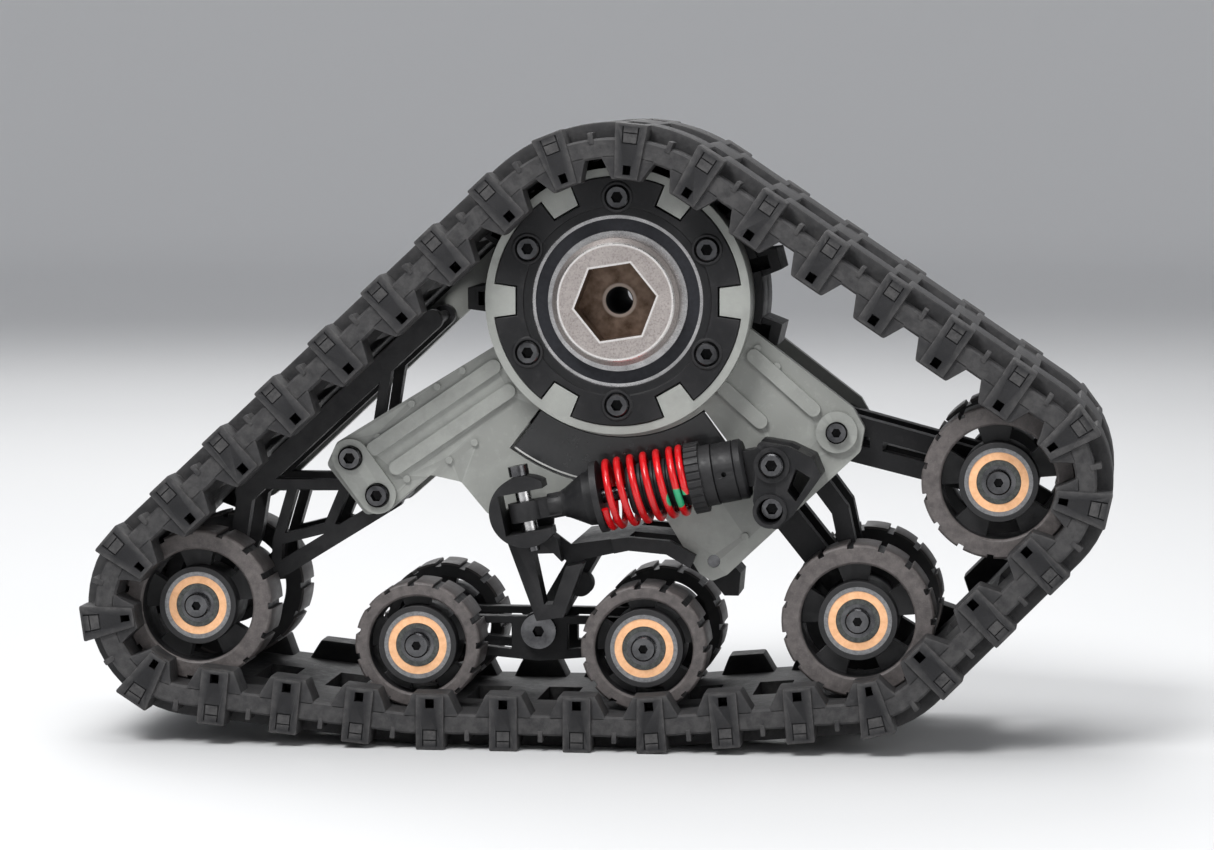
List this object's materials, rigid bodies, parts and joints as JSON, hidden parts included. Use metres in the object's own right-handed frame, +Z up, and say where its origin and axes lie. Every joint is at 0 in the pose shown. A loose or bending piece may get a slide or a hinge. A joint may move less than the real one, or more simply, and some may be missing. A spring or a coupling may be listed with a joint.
{
  "type": "triangular rubber track unit",
  "caption": "Triangular rubber track drive unit for a radio-controlled crawler, with a driven sprocket hub, road wheels, a rocking bogie and a coil-over shock.",
  "frame": {"origin": "on the drive hub's axis, midway across the belt", "axes": "+Y along the hub's axis towards the vehicle, +X along the belt's run towards the tail wheel, +Z up"},
  "size_m": [0.2448, 0.075, 0.1479],
  "materials": {
    "belt_rubber": "moulded, matt",
    "gray_plastic": "moulded, satin",
    "black_plastic": "moulded, satin",
    "wheel_plastic": "moulded, matt, scuffed",
    "hub_metal": "machined, satin",
    "screw_steel": "black oxide",
    "race_steel": "ground",
    "seal_tan": "matt",
    "seal_black": "matt",
    "spring_red": "gloss",
    "shaft_steel": "polished",
    "label": "printed foil, blank"
  },
  "bodies": {
    "frame": {"track_belt": "belt_rubber", "outer_plate": "gray_plastic", "inner_plate": "gray_plastic", "outer_retainer": "black_plastic", "inner_retainer": "black_plastic", "label_plate": "label", "nose_arm": "black_plastic", "tail_arm": "black_plastic", "toe_arm": "black_plastic", "main_bearing_outer_races": "race_steel", "main_bearing_seals": "seal_black", "retainer_screws": "screw_steel", "plate_screws": "screw_steel", "bracket_screws": "screw_steel", "shock_bracket": "black_plastic", "arm_pivot_pin": "screw_steel", "frame_axles": "screw_steel", "frame_bearing_cores": "race_steel", "frame_axle_screws": "screw_steel"},
    "sprocket": {"drive_hub": "hub_metal", "sprocket_front": "black_plastic", "sprocket_back": "black_plastic", "sprocket_screws": "screw_steel", "main_bearing_inner_races": "race_steel"},
    "arm": {"suspension_arm": "black_plastic", "pivot_ball": "race_steel", "ball_screw": "screw_steel"},
    "bogie": {"bogie_beam": "black_plastic", "bogie_pivot_screw": "screw_steel", "bogie_axles": "screw_steel", "bogie_bearing_cores": "race_steel", "bogie_axle_screws": "screw_steel"},
    "shock": {"shock_cap": "black_plastic", "shock_body": "black_plastic", "preload_collar": "black_plastic", "shock_spring": "spring_red"},
    "shaft": {"shock_shaft": "shaft_steel", "rod_end": "black_plastic", "spring_seat": "black_plastic"},
    "nose_wheel": {"nose_wheel_outer": "wheel_plastic", "nose_wheel_inner": "wheel_plastic", "nose_bearing_races": "race_steel", "nose_bearing_seals": "seal_tan"},
    "bogie_left_wheel": {"bogie_left_wheel_outer": "wheel_plastic", "bogie_left_wheel_inner": "wheel_plastic", "bogie_left_bearing_races": "race_steel", "bogie_left_bearing_seals": "seal_tan"},
    "bogie_right_wheel": {"bogie_right_wheel_outer": "wheel_plastic", "bogie_right_wheel_inner": "wheel_plastic", "bogie_right_bearing_races": "race_steel", "bogie_right_bearing_seals": "seal_tan"},
    "toe_wheel": {"toe_wheel_outer": "wheel_plastic", "toe_wheel_inner": "wheel_plastic", "toe_bearing_races": "race_steel", "toe_bearing_seals": "seal_tan"},
    "tail_wheel": {"tail_wheel_outer": "wheel_plastic", "tail_wheel_inner": "wheel_plastic", "tail_bearing_races": "race_steel", "tail_bearing_seals": "seal_tan"}
  },
  "joints": [
    {"name": "sprocket_spin", "type": "hinge", "parent": "frame", "child": "sprocket", "pos_m": [0, 0, 0], "axis": [0, 1, 0], "continuous": true, "deforming": ["track_belt"]},
    {"name": "arm_swing", "type": "hinge", "parent": "frame", "child": "arm", "pos_m": [0.022, 0, -0.062], "axis": [0, 1, 0], "range_deg": [0, 9], "stiffness_Nm_per_rad": 1.5, "springref_deg": -2.86, "deforming": ["track_belt"]},
    {"name": "bogie_rock", "type": "hinge", "parent": "arm", "child": "bogie", "pos_m": [-0.0206, 0, -0.08], "axis": [0, 1, 0], "range_deg": [-5, 5], "deforming": ["track_belt"]},
    {"name": "shock_swing", "type": "hinge", "parent": "frame", "child": "shock", "pos_m": [0.037, -0.0272, -0.0375], "axis": [0, 1, 0], "range_deg": [0, 6.2]},
    {"name": "shock_slide", "type": "slide", "parent": "shock", "child": "shaft", "axis": [0.9795, 0, 0.2013], "range_m": [0, 0.0035], "deforming": ["shock_spring"]},
    {"name": "nose_wheel_spin", "type": "hinge", "parent": "frame", "child": "nose_wheel", "pos_m": [-0.1006, 0, -0.0731], "axis": [0, 1, 0], "continuous": true},
    {"name": "bogie_left_wheel_spin", "type": "hinge", "parent": "bogie", "child": "bogie_left_wheel", "pos_m": [-0.0476, 0, -0.0818], "axis": [0, 1, 0], "continuous": true},
    {"name": "bogie_right_wheel_spin", "type": "hinge", "parent": "bogie", "child": "bogie_right_wheel", "pos_m": [0.0064, 0, -0.0818], "axis": [0, 1, 0], "continuous": true},
    {"name": "toe_wheel_spin", "type": "hinge", "parent": "frame", "child": "toe_wheel", "pos_m": [0.0568, 0, -0.0745], "axis": [0, 1, 0], "continuous": true},
    {"name": "tail_wheel_spin", "type": "hinge", "parent": "frame", "child": "tail_wheel", "pos_m": [0.0894, 0, -0.0415], "axis": [0, 1, 0], "continuous": true}
  ],
  "couplings": [
    {"joint": "shock_swing", "follows": "arm_swing", "ratio": 0.681},
    {"joint": "shock_slide", "follows": "arm_swing", "m_per_rad": 0.022},
    {"joint": "nose_wheel_spin", "follows": "sprocket_spin", "ratio": 2},
    {"joint": "bogie_left_wheel_spin", "follows": "sprocket_spin", "ratio": 2.4},
    {"joint": "bogie_right_wheel_spin", "follows": "sprocket_spin", "ratio": 2.4},
    {"joint": "toe_wheel_spin", "follows": "sprocket_spin", "ratio": 2},
    {"joint": "tail_wheel_spin", "follows": "sprocket_spin", "ratio": 2}
  ]
}
